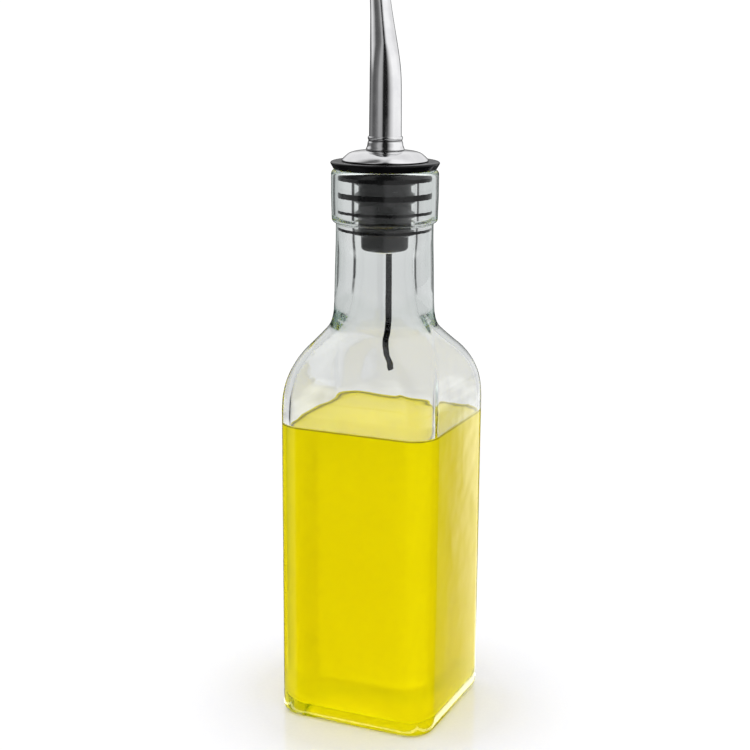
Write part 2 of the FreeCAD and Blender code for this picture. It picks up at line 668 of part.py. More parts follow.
# ----------------------------------------------------------------------------- breather tube
# The air tube runs beside the centre line, through the throat and the spout, and stops inside the tip.
# Below the stopper it hangs into the bottle, bowed a little one way and hooked the other at its end.
off = D["breather_offset"]
top_s = spout_total - 5.2
_, z_up, _ = station(0)
o1, u1, a1 = station(arc_len)
o2, u2, a2 = station(top_s)
# the part inside the spout: an upright line, an arc and a line, in the lean plane, moved sideways by the offset
mid_z = 140.0


def path_edges():
    up0 = V(0, -off, mid_z)
    up1 = V(0, -off, D["bend_start"])
    a_half = beta / 2
    pm = V(Rb * (1 - math.cos(a_half)), -off, D["bend_start"] + Rb * math.sin(a_half))
    pe = V(o1, -off, u1)
    pt = V(o2, -off, u2)
    # below: two tangent arcs in the plane across the lean, bow then hook
    z_a = 128.0
    r1 = 62.0     # bow towards the centre line
    ang1 = math.radians(8.0)
    c1 = V(0, -off + r1, z_a)
    q1 = V(0, c1.y - r1 * math.cos(ang1), z_a - r1 * math.sin(ang1))
    q1m = V(0, c1.y - r1 * math.cos(ang1 / 2), z_a - r1 * math.sin(ang1 / 2))
    # reverse arc from q1, tangent, curling back
    r2 = 19.5
    n = V(0, math.cos(ang1), math.sin(ang1))        # from q1 towards c1
    c2 = q1 - n * r2
    ang2 = math.radians(32.0)

    def on2(t):
        # rotate n about X so the path keeps going down and swings back past the centre line
        b = ang1 - t
        return c2 + V(0, math.cos(b), math.sin(b)) * r2
    q2m, q2 = on2(ang2 / 2), on2(ang2)
    edges = [
        Part.Arc(q2, q2m, q1).toShape(),
        Part.Arc(q1, q1m, V(0, -off, z_a)).toShape(),
        Part.LineSegment(V(0, -off, z_a), up1).toShape(),
        Part.Arc(up1, pm, pe).toShape(),
        Part.LineSegment(pe, pt).toShape(),
    ]
    return edges, q2, q1


edges, foot_pt, q1 = path_edges()
wire = Part.Wire(edges)
t0 = (edges[0].tangentAt(edges[0].FirstParameter))
outer_c = Part.Wire([Part.Circle(foot_pt, t0, D["breather_radius"]).toShape()])
inner_c = Part.Wire([Part.Circle(foot_pt, t0, D["breather_bore"]).toShape()])
solid_o = wire.makePipeShell([outer_c], True, True)
solid_i = wire.makePipeShell([inner_c], True, True)
tube = solid_o.cut(solid_i)
breather = doc.addObject("Part::Feature", "breather_tube")
breather.Label = "breather_tube"
breather.Shape = tube
breather.Placement = FreeCAD.Placement(V(0, 0, 0), FreeCAD.Rotation(V(0, 0, 1), yaw))
doc.recompute()
print("breather foot z %.2f, length %.1f, solids %d" % (foot_pt.z, wire.Length, len(breather.Shape.Solids)))

# ----------------------------------------------------------------------------- checks and export
bad = []
for o_ in doc.Objects:
    if any(s in ("Invalid", "Error") for s in o_.State):
        bad.append((o_.Name, o_.State))
if bad:
    raise SystemExit("failed objects: %s" % bad)
os.makedirs("parts", exist_ok=True)
nodes = [glass, oil, stopper, dome, ferrule, spout, throat, breather]
for n in nodes:
    s = n.Shape
    if s.isNull() or not s.isValid() or not s.Solids:
        raise SystemExit("%s has no valid shape" % n.Label)
    b = s.BoundBox
    print("%-16s solids %d  vol %.1f  z %.2f..%.2f  x %.2f..%.2f y %.2f..%.2f" % (
        n.Label, len(s.Solids), s.Volume, b.ZMin, b.ZMax, b.XMin, b.XMax, b.YMin, b.YMax))
for n in nodes:
    n.Shape.exportStep("parts/%s.step" % n.Label)
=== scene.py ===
# Square glass oil bottle with a ribbed stopper and a bent steel pourer, on a pale studio floor.
# Metres throughout; the bottle stands on z = 0 on the neck's axis. Sizes below are in millimetres
# and are turned into metres by MM.
import math

import bmesh
import bpy
import numpy as np
from mathutils import Matrix, Vector, noise


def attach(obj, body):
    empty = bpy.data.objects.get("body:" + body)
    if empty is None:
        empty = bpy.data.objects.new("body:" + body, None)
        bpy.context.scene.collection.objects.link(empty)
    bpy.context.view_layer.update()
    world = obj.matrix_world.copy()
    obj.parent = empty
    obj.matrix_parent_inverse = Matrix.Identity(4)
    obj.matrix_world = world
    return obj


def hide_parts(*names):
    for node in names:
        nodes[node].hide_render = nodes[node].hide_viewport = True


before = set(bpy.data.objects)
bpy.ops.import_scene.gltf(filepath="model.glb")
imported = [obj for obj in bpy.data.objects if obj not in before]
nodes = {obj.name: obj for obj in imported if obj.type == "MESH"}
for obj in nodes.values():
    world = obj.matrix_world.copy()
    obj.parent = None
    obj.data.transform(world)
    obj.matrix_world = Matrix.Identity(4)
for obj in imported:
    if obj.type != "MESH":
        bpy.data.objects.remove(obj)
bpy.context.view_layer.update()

MM = 0.001
scene = bpy.context.scene

# --------------------------------------------------------------------------- shape helpers
N_ROUND = 288


def pchip(xs, ys, x):
    """Smooth interpolation without overshoot."""
    xs, ys = np.asarray(xs, float), np.asarray(ys, float)
    h = np.diff(xs)
    d = np.diff(ys) / h
    m = np.zeros_like(ys)
    m[0], m[-1] = d[0], d[-1]
    for i in range(1, len(xs) - 1):
        if d[i - 1] * d[i] > 0:
            w1, w2 = 2 * h[i] + h[i - 1], h[i] + 2 * h[i - 1]
            m[i] = (w1 + w2) / (w1 / d[i - 1] + w2 / d[i])
    i = np.clip(np.searchsorted(xs, x) - 1, 0, len(h) - 1)
    t = (np.asarray(x, float) - xs[i]) / h[i]
    return ((2 * t ** 3 - 3 * t ** 2 + 1) * ys[i] + (t ** 3 - 2 * t ** 2 + t) * h[i] * m[i]
            + (-2 * t ** 3 + 3 * t ** 2) * ys[i + 1] + (t ** 3 - t ** 2) * h[i] * m[i + 1])


def rounded(half, corner, n=N_ROUND):
    """Points of a rounded square, half wide across the flats, by equal angles about its middle."""
    th = (np.arange(n) + 0.5) * 2 * math.pi / n
    a, b = np.abs(np.cos(th)), np.abs(np.sin(th))
    hi, lo = np.maximum(a, b), np.minimum(a, b)
    corner = min(corner, half)
    c = half - corner
    t = half / hi
    at_corner = t * lo > c
    s = c * (hi + lo)
    tc = s + np.sqrt(np.maximum(s * s - (2 * c * c - corner * corner), 0))
    t = np.where(at_corner, tc, t)
    return np.stack([t * np.cos(th), t * np.sin(th)], 1)


def mesh_object(name, verts, faces, smooth=True):
    me = bpy.data.meshes.new(name)
    me.from_pydata([tuple(v) for v in verts], [], faces)
    me.update()
    if smooth:
        me.polygons.foreach_set("use_smooth", [True] * len(me.polygons))
    ob = bpy.data.objects.new(name, me)
    scene.collection.objects.link(ob)
    return ob


def loft(name, rings, pole_first=None, pole_last=None, wrap=False):
    """Joins equal rings of points into one closed skin. A pole closes an end; wrap joins the last ring to the first."""
    n = len(rings[0])
    verts = np.concatenate(rings)
    faces = []
    count = len(rings)
    pairs = [(k, k + 1) for k in range(count - 1)] + ([(count - 1, 0)] if wrap else [])
    idx = np.arange(n)
    nxt = (idx + 1) % n
    for k, l in pairs:
        a, b = k * n, l * n
        faces += [(a + i, a + j, b + j, b + i) for i, j in zip(idx.tolist(), nxt.tolist())]
    verts = verts.tolist()
    if pole_first is not None:
        p = len(verts)
        verts.append(list(pole_first))
        faces += [(p, j, i) for i, j in zip(idx.tolist(), nxt.tolist())]
    if pole_last is not None:
        p = len(verts)
        verts.append(list(pole_last))
        a = (count - 1) * n
        faces += [(a + i, a + j, p) for i, j in zip(idx.tolist(), nxt.tolist())]
    ob = mesh_object(name, verts, faces)
    bm = bmesh.new()
    bm.from_mesh(ob.data)
    bmesh.ops.recalc_face_normals(bm, faces=bm.faces)
    bm.to_mesh(ob.data)
    bm.free()
    return ob


def arc(cx, cz, r, a0, a1, n):
    """Points of an arc as (across, up), angles in degrees from the outward direction."""
    t = np.radians(np.linspace(a0, a1, n))
    return [(cx + r * math.cos(q), cz + r * math.sin(q)) for q in t]


def revolve(name, profile, n=160, wrap=True):
    """Turns a closed outline of (radius, height), in millimetres, about Z."""
    th = (np.arange(n) + 0.5) * 2 * math.pi / n
    rings = []
    for r, z in profile:
        rings.append(np.stack([r * np.cos(th), r * np.sin(th), np.full(n, z)], 1) * MM)
    return loft(name, rings, wrap=wrap)


def smooth_outline(points, radius, steps=5):
    """Rounds each corner of a closed outline by up to radius, with short arcs made of quadratic curves."""
    out = []
    n = len(points)
    for i in range(n):
        p0, p1, p2 = (np.array(points[i - 1], float), np.array(points[i], float), np.array(points[(i + 1) % n], float))
        r = radius[i] if isinstance(radius, (list, tuple)) else radius
        d0, d1 = np.linalg.norm(p0 - p1), np.linalg.norm(p2 - p1)
        q = min(r, 0.45 * d0, 0.45 * d1)
        a = p1 + (p0 - p1) / d0 * q
        b = p1 + (p2 - p1) / d1 * q
        for t in np.linspace(0, 1, steps):
            out.append(tuple((1 - t) ** 2 * a + 2 * t * (1 - t) * p1 + t * t * b))
    return out


def subdivided(profile, step):
    """Adds points to an outline so that no edge is longer than step."""
    out = []
    for i in range(len(profile)):
        a, b = np.array(profile[i], float), np.array(profile[(i + 1) % len(profile)], float)
        k = max(1, int(math.ceil(np.linalg.norm(b - a) / step)))
        out += [tuple(a + (b - a) * j / k) for j in range(k)]
    return out


def wave(p, size, seed):
    """Smooth repeatable noise from -1 to 1 at a point in millimetres."""
    return noise.noise(Vector((p[0] / size + seed, p[1] / size - seed, p[2] / size + 2.3 * seed)))


# --------------------------------------------------------------------------- glass bottle
OUTER = [
    (98.0, 25.40, 8.00), (101.5, 25.28, 8.15), (105.0, 24.95, 8.70), (108.5, 24.28, 9.70),
    (112.0, 23.15, 11.10), (115.0, 21.75, 12.80), (118.0, 19.70, 14.50), (120.6, 17.80, 15.30),
    (122.6, 16.50, 15.60), (124.6, 15.80, 15.45), (126.9, 15.42, 15.36),
]
INNER = [
    (96.0, 23.00, 5.80), (101.5, 22.90, 6.00), (105.0, 22.55, 6.60), (108.5, 21.90, 7.80),
    (112.0, 20.70, 9.60), (115.0, 19.00, 11.30), (118.0, 16.80, 12.80), (120.6, 14.80, 13.30),
    (122.6, 13.40, 12.80), (125.5, 11.80, 11.55), (129.0, 10.30, 10.20), (133.0, 9.40, 9.38), (138.0, 8.86, 8.84),
]
FLOOR, CROWN, CROWN_R, HEEL_IN = 2.9, 1.3, 14.0, 5.6
PUSH, PUSH_R = 1.9, 18.0
OIL_LEVEL = 93.0
IN_HALF, IN_CORNER = 23.00, 5.80


def cap_height(r, reach, rise):
    """Height of a shallow round cap at radius r."""
    big = (reach * reach + rise * rise) / (2 * rise)
    return math.sqrt(max(big * big - r * r, 0)) - (big - rise)


def outer_sections():
    s = []
    for r in (3, 6, 9, 12, 14.5, 16.5, 17.5):
        s.append((cap_height(r, PUSH_R, PUSH), r, r))
    for f in (0.0, 0.35, 0.7, 1.0):
        h = PUSH_R + (23.4 - PUSH_R) * f
        s.append((0.0, h, h + (6.0 - h) * f ** 0.6))
    for a in np.radians(np.linspace(12, 90, 9)):
        s.append((2 - 2 * math.cos(a), 23.4 + 2 * math.sin(a), 6 + 2 * math.sin(a)))
    for z in np.arange(3.5, 98.0, 1.75):
        s.append((z, 25.4, 8.0))
    zs = [o[0] for o in OUTER]
    for z in np.linspace(98.0, 126.9, 78):
        s.append((z, float(pchip(zs, [o[1] for o in OUTER], z)), float(pchip(zs, [o[2] for o in OUTER], z))))
    for z in np.linspace(127.6, 153.6, 34):
        r = float(pchip([126.9, 131, 140, 151.4, 154], [15.42, 15.22, 15.02, 14.75, 14.75], z))
        s.append((z, r, r))
    prof = [(14.75, 153.8)] + arc(15.15, 154.0 + 0.05, 0.4, 180, 90, 4)[1:]
    prof = [(14.76, 153.9), (14.85, 154.2), (15.0, 154.36)] + arc(15.03, 155.35, 0.95, -80, 5, 7)
    prof += [(float(pchip([155.4, 159, 163, 168.7], [15.99, 16.1, 16.2, 16.2], z)), z) for z in np.linspace(156.2, 168.4, 12)]
    prof += arc(14.7, 168.7, 1.5, 4, 90, 9)
    prof += [(13.0, 170.2), (11.4, 170.19), (10.6, 170.12), (10.05, 169.9), (9.65, 169.55), (9.38, 169.0), (9.27, 168.2)]
    for r, z in prof:
        s.append((z, r, r))
    return s


def inner_sections():
    s = []
    for z in np.linspace(167.2, 138.6, 34):
        r = float(pchip([138.0, 139.5, 141.4, 150.4, 168], [8.84, 8.78, 8.78, 9.25, 9.25], z))
        s.append((z, r, r))
    zs = [o[0] for o in INNER]
    for z in np.linspace(138.0, 96.0, 86):
        s.append((z, float(pchip(zs, [o[1] for o in INNER], z)), float(pchip(zs, [o[2] for o in INNER], z))))
    for z in np.arange(94.5, FLOOR + HEEL_IN + 0.5, -1.5):
        s.append((z, IN_HALF, IN_CORNER))
    for a in np.radians(np.linspace(0, 86, 10)):
        s.append((FLOOR + HEEL_IN - HEEL_IN * math.sin(a), IN_HALF - HEEL_IN + HEEL_IN * math.cos(a),
                  max(IN_CORNER - HEEL_IN + HEEL_IN * math.cos(a), 0.5)))
    h0 = IN_HALF - HEEL_IN
    for f in (0.35, 0.7, 1.0):
        h = h0 + (CROWN_R + 0.2 - h0) * f
        s.append((FLOOR, h, (IN_CORNER - HEEL_IN) + (h - (IN_CORNER - HEEL_IN)) * f ** 0.8))
    for r in (13.2, 11.5, 9.5, 7, 4.5, 2):
        s.append((FLOOR + cap_height(r, CROWN_R, CROWN), r, r))
    return s


def ring(z, half, corner, inside=False, push=0.0):
    p = rounded(half + push, corner + push)
    pts = np.concatenate([p, np.full((len(p), 1), z)], 1)
    return pts


def wavy(pts, inside):
    """Moulded glass is never quite even: the outside sinks by a few hundredths, the inside by a tenth or two."""
    out = pts.copy()
    z = pts[0, 2]
    fade = min(1.0, max(0.0, (z - 3) / 8)) * (1.0 if z < 122 else max(0.15, 1 - (z - 122) / 20))
    if fade <= 0:
        return out
    for i, p in enumerate(pts):
        r = math.hypot(p[0], p[1])
        if inside:
            d = (0.10 * wave(p, 19, 3.1) + 0.03 * wave(p, 8.5, 9.7)) * fade
            above = min(1.0, max(0.0, (z - OIL_LEVEL - 1.5) / 4)) * min(1.0, max(0.0, (118 - z) / 8))
            d += 0.06 * wave(p, 6.0, 2.2) * above
        else:
            d = -abs(0.05 * wave(p, 21, 5.3) + 0.02 * wave(p, 9, 1.9)) * fade
        out[i, 0] += d * p[0] / r
        out[i, 1] += d * p[1] / r
    return out


rings = [wavy(ring(z, h, c), False) * MM for z, h, c in outer_sections()]
rings += [wavy(ring(z, h, c), True) * MM for z, h, c in inner_sections()]
bottle = loft("bottle_glass", rings, pole_first=(0, 0, PUSH * MM), pole_last=(0, 0, (FLOOR + CROWN) * MM))
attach(bottle, "bottle")
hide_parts("glass_bottle")

# --------------------------------------------------------------------------- oil
# The liquid wets the glass: its skin lies 0.06 mm inside the wall's glass, and climbs the wall as a meniscus.
WET = 0.06
MENISCUS = 0.9


def oil_sections():
    s = []
    for r in (2, 4.5, 7, 9.5, 11.5, 13.2):
        s.append((FLOOR + cap_height(r, CROWN_R, CROWN) - WET, r, r, False))
    h0 = IN_HALF - HEEL_IN
    for f in (1.0, 0.7, 0.35):
        h = h0 + (CROWN_R + 0.2 - h0) * f
        s.append((FLOOR - WET, h, (IN_CORNER - HEEL_IN) + (h - (IN_CORNER - HEEL_IN)) * f ** 0.8, False))
    for a in np.radians(np.linspace(86, 0, 10)):
        q = HEEL_IN + WET
        s.append((FLOOR + HEEL_IN - q * math.sin(a), IN_HALF - HEEL_IN + q * math.cos(a),
                  max(IN_CORNER - HEEL_IN + q * math.cos(a), 0.5), True))
    for z in np.arange(FLOOR + HEEL_IN + 1.0, OIL_LEVEL - 0.5, 1.5):
        s.append((z, IN_HALF + WET, IN_CORNER + WET, True))
    for z in np.linspace(OIL_LEVEL, OIL_LEVEL + MENISCUS, 5):
        s.append((z, IN_HALF + WET, IN_CORNER + WET, True))
    for d in (0.09, 0.16, 0.28, 0.45, 0.7, 1.0, 1.4, 1.9, 2.5, 3.3, 4.4, 6.0, 9.0, 13.0, 17.0, 20.0):
        z = OIL_LEVEL + MENISCUS * math.exp(-(d - 0.09) / 0.95)
        s.append((z, IN_HALF + WET - d, max(IN_CORNER + WET - d, 1.2 + 0.0 * d) if d < 6 else max(0.4 * (IN_HALF - d), 0.3), False))
    return s


def oil_rings():
    out = []
    for z, h, c, wall in oil_sections():
        p = ring(z, h, c)
        if wall and z > FLOOR + 2:
            w = wavy(p, True)
            p = w
        elif z > OIL_LEVEL - 1:
            w = wavy(p, True)
            k = math.exp(-(IN_HALF + WET - h) / 3)
            p = p + (w - p) * k
        out.append(p * MM)
    return out


oil = loft("oil_body", oil_rings(), pole_first=(0, 0, (FLOOR + CROWN - WET) * MM), pole_last=(0, 0, OIL_LEVEL * MM))
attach(oil, "bottle")
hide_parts("oil_fill")

# --------------------------------------------------------------------------- stopper
NB, LT = 146.0, 170.2
FIN, CORE, NOSE, BORE_S = 9.33, 8.0, 7.25, 4.43   # the ribs are squeezed against the bore
stop_pts = [
    (BORE_S, NB), (NOSE - 0.5, NB), (NOSE, NB + 0.5), (NOSE, NB + 4.5),
    (CORE + 0.25, NB + 4.85), (FIN - 0.12, NB + 5.25), (FIN, NB + 5.9), (FIN - 0.06, NB + 6.45), (CORE, NB + 6.9),
    (CORE, NB + 10.0), (CORE + 0.45, NB + 10.35), (FIN - 0.12, NB + 10.75), (FIN, NB + 11.4), (FIN - 0.06, NB + 11.95), (CORE, NB + 12.4),
    (CORE, NB + 14.3), (CORE + 0.45, NB + 14.7), (FIN - 0.12, NB + 15.15), (FIN, NB + 16.2), (FIN - 0.06, NB + 17.3), (CORE, NB + 17.8),
    (CORE, NB + 19.5), (CORE + 0.45, NB + 19.9), (FIN - 0.12, NB + 20.35), (FIN, NB + 21.4), (FIN - 0.06, NB + 22.8), (CORE, NB + 23.2),
    (CORE, LT + 0.06), (15.45, LT + 0.06), (16.30, 171.75), (16.45, 172.1), (16.2, 172.45),
    (15.6, 172.6), (13.55, 172.6), (BORE_S, 172.6),
]
rad = [0.05, 0.35, 0.4, 0.3] + [0.25, 0.2, 0.4, 0.3, 0.3] + [0.3, 0.25, 0.2, 0.4, 0.3, 0.3] * 3 + [0.15, 0.25, 0.4, 0.2, 0.25, 0.3, 0.1, 0.05]
stopper = revolve("stopper_ribbed", subdivided(smooth_outline(stop_pts, rad, 4), 1.0), n=192)
# ribs of moulded elastomer are a little uneven round the rim, and the nose's lower edge is scalloped
me = stopper.data
for v in me.vertices:
    x, y, z = v.co[0] / MM, v.co[1] / MM, v.co[2] / MM
    r = math.hypot(x, y)
    a = math.atan2(y, x)
    if r > CORE - 0.2 and z < LT:
        dz = 0.10 * wave((x, y, z * 0.2), 5.5, 4.4) + 0.03 * math.sin(a * 19 + z)
        v.co[2] += dz * MM
    if r > 5.5 and z < NB + 0.8:
        v.co[2] += 0.28 * max(0.0, math.sin(a * 7 + 0.6)) * MM * min(1.0, (r - 5.5))
me.update()
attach(stopper, "stopper")
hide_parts("ribbed_stopper")

# --------------------------------------------------------------------------- pourer: dome, ferrule, tubes
DB, DT, DR, SB = 172.66, 175.95, 13.05, 4.91
dome_pts = [
    (DR - 0.75, DB), (DR - 0.05, DB), (DR, DB + 0.35), (DR - 0.9, DB + 1.25), (DR - 2.1, DB + 2.25), (DR - 3.4, DB + 2.72),
    (DR - 5.4, DB + 3.02), (SB + 0.75, DT - 0.1), (SB + 0.12, DT - 0.1), (SB + 0.12, DT - 0.7),
    (DR - 5.4, DB + 2.42), (DR - 3.6, DB + 2.12), (DR - 2.45, DB + 1.65), (DR - 1.35, DB + 0.65),
]
dome = revolve("dome_pressed", subdivided(smooth_outline(dome_pts, [0.2, 0.2, 0.3, 0.8, 0.8, 0.8, 0.9, 0.3, 0.1, 0.1, 0.8, 0.8, 0.8, 0.4], 6), 0.6), n=192)
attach(dome, "pourer")
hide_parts("dome_cap")

fer_pts = [
    (SB + 0.12, DT), (SB + 0.85, DT), (SB + 0.85, DT + 0.35), (SB + 0.50, DT + 1.1), (SB + 0.36, DT + 2.2),
    (SB + 0.16, DT + 2.6), (SB + 0.16, DT + 2.95), (SB + 0.34, DT + 3.2), (SB + 0.34, DT + 3.75), (SB + 0.20, DT + 4.0), (SB + 0.12, DT + 4.0),
]
ferrule = revolve("ferrule_ring", subdivided(smooth_outline(fer_pts, [0.03, 0.12, 0.25, 0.4, 0.3, 0.15, 0.15, 0.15, 0.15, 0.08, 0.03], 5), 0.5), n=160)
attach(ferrule, "pourer")
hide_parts("base_ferrule")

YAW = math.radians(120.8)
BETA, RB, BEND0, RUN = math.radians(35.0), 20.0, 193.0, 34.0
ARC = RB * BETA
TOTAL = ARC + RUN
FOOT = 173.3
CUT = math.radians(40.0)


def station(s):
    if s <= 0:
        return 0.0, BEND0 + s, 0.0
    if s <= ARC:
        a = s / RB
        return RB * (1 - math.cos(a)), BEND0 + RB * math.sin(a), a
    q = s - ARC
    return RB * (1 - math.cos(BETA)) + q * math.sin(BETA), BEND0 + RB * math.sin(BETA) + q * math.cos(BETA), BETA


def tube_radius(s):
    return float(pchip([FOOT - BEND0 - 1, 0.0, 5.0, ARC, ARC + 19.0, TOTAL + 3], [4.91, 4.78, 4.68, 4.26, 3.12, 2.72], s))


def spout_mesh():
    n = 128
    th = np.arange(n) * 2 * math.pi / n
    wall = 0.45
    stations = [FOOT - BEND0] + list(np.linspace(FOOT - BEND0 + 0.6, -0.5, 14)) + list(np.linspace(0, ARC, 22)) + \
        list(np.linspace(ARC + 0.8, TOTAL - 6, 26))
    o1, u1, a1 = station(TOTAL)
    ax = np.array([math.sin(a1), 0, math.cos(a1)])
    sd = np.array([math.cos(a1), 0, -math.sin(a1)])
    rt = tube_radius(TOTAL)

    def ring_at(s, r):
        o, u, a = station(s)
        e1 = np.array([math.cos(a), 0, -math.sin(a)])
        e2 = np.array([0, 1.0, 0])
        c = np.array([o, 0, u])
        return c + r * (np.cos(th)[:, None] * e1 + np.sin(th)[:, None] * e2)

    def cut_ring(r, lift):
        """The ring where the tube meets the slanted plane through its pouring lip."""
        e2 = np.array([0, 1.0, 0])
        c = np.array([o1, 0, u1])
        out = []
        for q in th:
            across = r * math.cos(q)
            back = (rt - across) * math.tan(CUT) + lift
            out.append(c + across * sd + r * math.sin(q) * e2 - back * ax)
        return np.array(out)

    outer = [ring_at(s, tube_radius(s)) for s in stations]
    last = outer[-1]
    tip_o = cut_ring(tube_radius(TOTAL), 0.10)
    for f in (0.25, 0.5, 0.75, 0.92):
        outer.append(last * (1 - f) + tip_o * f)
    outer.append(tip_o)
    inner = [ring_at(s, tube_radius(s) - wall) for s in stations]
    lasti = inner[-1]
    tip_i = cut_ring(tube_radius(TOTAL) - wall, 0.10)
    for f in (0.25, 0.5, 0.75, 0.92):
        inner.append(lasti * (1 - f) + tip_i * f)
    inner.append(tip_i)
    mids = [cut_ring(tube_radius(TOTAL) - wall * 0.25, 0.0), cut_ring(tube_radius(TOTAL) - wall * 0.75, 0.0)]
    rings_ = outer + mids + inner[::-1]
    cy, sy = math.cos(YAW), math.sin(YAW)
    turn = np.array([[cy, -sy, 0], [sy, cy, 0], [0, 0, 1]])
    return loft("spout_bent", [(p @ turn.T) * MM for p in rings_], wrap=True)


spout = spout_mesh()
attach(spout, "pourer")
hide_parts("spout_tube")


# the air tube keeps its CAD path: upright line with a bow and a hook below, bent with the spout above
def breather_mesh():
    off = 1.35
    pts = []
    r1, ang1 = 62.0, math.radians(8.0)
    r2, ang2 = 19.5, math.radians(32.0)
    za = 128.0
    c1y = -off + r1
    q1 = np.array([0, c1y - r1 * math.cos(ang1), za - r1 * math.sin(ang1)])
    n = np.array([0, math.cos(ang1), math.sin(ang1)])
    c2 = q1 - n * r2
    for t in np.linspace(ang2, 0, 22)[:-1]:
        b = ang1 - t
        pts.append(c2 + np.array([0, math.cos(b), math.sin(b)]) * r2)
    for t in np.linspace(ang1, 0, 12)[:-1]:
        pts.append(np.array([0, c1y - r1 * math.cos(t), za - r1 * math.sin(t)]))
    for z in np.linspace(za, BEND0, 24)[:-1]:
        pts.append(np.array([0, -off, z]))
    for s in np.linspace(0, TOTAL - 5.4, 40):
        o, u, a = station(s)
        pts.append(np.array([o, -off, u]))
    P = np.array(pts)
    n_round = 40
    th = np.arange(n_round) * 2 * math.pi / n_round
    T = np.gradient(P, axis=0)
    T /= np.linalg.norm(T, axis=1)[:, None]
    ref = np.array([1.0, 0, 0])

    def rings_of(r):
        out = []
        e1 = ref - T[0] * (ref @ T[0])
        for p, t in zip(P, T):
            e1 = e1 - t * (e1 @ t)
            e1 /= np.linalg.norm(e1)
            e2 = np.cross(t, e1)
            out.append(p + r * (np.cos(th)[:, None] * e1 + np.sin(th)[:, None] * e2))
        return out

    o, i = rings_of(0.95), rings_of(0.6)
    cy, sy = math.cos(YAW), math.sin(YAW)
    turn = np.array([[cy, -sy, 0], [sy, cy, 0], [0, 0, 1]])
    return loft("air_tube_bent", [(p @ turn.T) * MM for p in o + i[::-1]], wrap=True)


breather = breather_mesh()
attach(breather, "pourer")
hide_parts("breather_tube")

TR, TW = 4.38, 0.45
throat_pts = [(TR - TW, NB - 0.55), (5.6, NB - 0.55), (5.6, NB - 0.10), (TR, NB - 0.10), (TR, 178.0), (TR - TW, 178.0)]
throat = revolve("throat_rolled", subdivided(smooth_outline(throat_pts, [0.25, 0.2, 0.2, 0.02, 0.15, 0.15], 5), 2.0), n=96)
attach(throat, "pourer")
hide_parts("throat_tube")


# --------------------------------------------------------------------------- materials
def material(name):
    m = bpy.data.materials.new(name)
    m.use_nodes = True
    nt = m.node_tree
    return m, nt, nt.nodes["Principled BSDF"]


def node(nt, kind, **values):
    n = nt.nodes.new(kind)
    for k, v in values.items():
        if k in n.inputs:
            n.inputs[k].default_value = v
        else:
            setattr(n, k, v)
    return n


def object_coords(nt):
    return nt.nodes.new("ShaderNodeTexCoord").outputs["Object"]


def noise_tex(nt, scale, detail=3.0, rough=0.5, vector=None):
    n = node(nt, "ShaderNodeTexNoise", Scale=scale, Detail=detail, Roughness=rough)
    if vector is not None:
        nt.links.new(vector, n.inputs["Vector"])
    return n


def ramp(nt, source, stops):
    r = nt.nodes.new("ShaderNodeValToRGB")
    while len(r.color_ramp.elements) < len(stops):
        r.color_ramp.elements.new(0.5)
    for e, (p, c) in zip(r.color_ramp.elements, stops):
        e.position = p
        e.color = c if len(c) == 4 else (*c, 1)
    nt.links.new(source, r.inputs[0])
    return r


def map_range(nt, source, a, b, c, d):
    n = node(nt, "ShaderNodeMapRange")
    n.inputs[1].default_value, n.inputs[2].default_value = a, b
    n.inputs[3].default_value, n.inputs[4].default_value = c, d
    nt.links.new(source, n.inputs[0])
    return n.outputs[0]


def wetted_ior(nt, p, dry):
    """Index of refraction: the usual one on dry skin, none where oil and glass touch and bend light alike."""
    at = nt.nodes.new("ShaderNodeAttribute")
    at.attribute_name = "wetted"
    nt.links.new(map_range(nt, at.outputs["Fac"], 0.0, 1.0, dry, 1.0), p.inputs["IOR"])


def bump(nt, height, strength, distance):
    b = node(nt, "ShaderNodeBump", Strength=strength, Distance=distance)
    nt.links.new(height, b.inputs["Height"])
    return b.outputs["Normal"]


# glass: clear soda-lime, slightly green in depth, with faint waviness, a trace of smear on its skin and painted shade
# along its outline
m_glass, nt, p = material("clear_glass_wavy")
# painted shade: the glass's colour darkens to near black towards its outline, as it is seen more edge-on
edge = node(nt, "ShaderNodeLayerWeight", Blend=0.5)
painted_dark_rim = ramp(nt, edge.outputs["Facing"], [(0.0, (0.99, 0.995, 0.992)), (0.76, (0.97, 0.98, 0.975)), (0.87, (0.42, 0.46, 0.42)), (0.94, (0.05, 0.06, 0.04))])
# the painted dark rim is left off for light that has already bounced about inside the wall, so it is not dimmed again
seen = nt.nodes.new("ShaderNodeLightPath")
tint = nt.nodes.new("ShaderNodeMix")
tint.data_type = "RGBA"
nt.links.new(map_range(nt, seen.outputs["Ray Depth"], 5.4, 5.6, 0.0, 1.0), tint.inputs["Factor"])
nt.links.new(painted_dark_rim.outputs[0], tint.inputs[6])
tint.inputs[7].default_value = (0.994, 0.997, 0.996, 1)
nt.links.new(tint.outputs[2], p.inputs["Base Color"])
p.inputs["Transmission Weight"].default_value = 1.0
p.inputs["IOR"].default_value = 1.52
wetted_ior(nt, p, 1.52)
oc = object_coords(nt)
w1 = noise_tex(nt, 60, 2, 0.5, oc)
w2 = noise_tex(nt, 420, 3, 0.55, oc)
nt.links.new(map_range(nt, w2.outputs["Fac"], 0.45, 0.8, 0.0, 0.022), p.inputs["Roughness"])
nt.links.new(bump(nt, w1.outputs["Fac"], 0.12, 0.0006), p.inputs["Normal"])
va = node(nt, "ShaderNodeVolumeAbsorption", Density=22.0)
va.inputs["Color"].default_value = (0.66, 0.75, 0.72, 1)
nt.links.new(va.outputs[0], nt.nodes["Material Output"].inputs["Volume"])
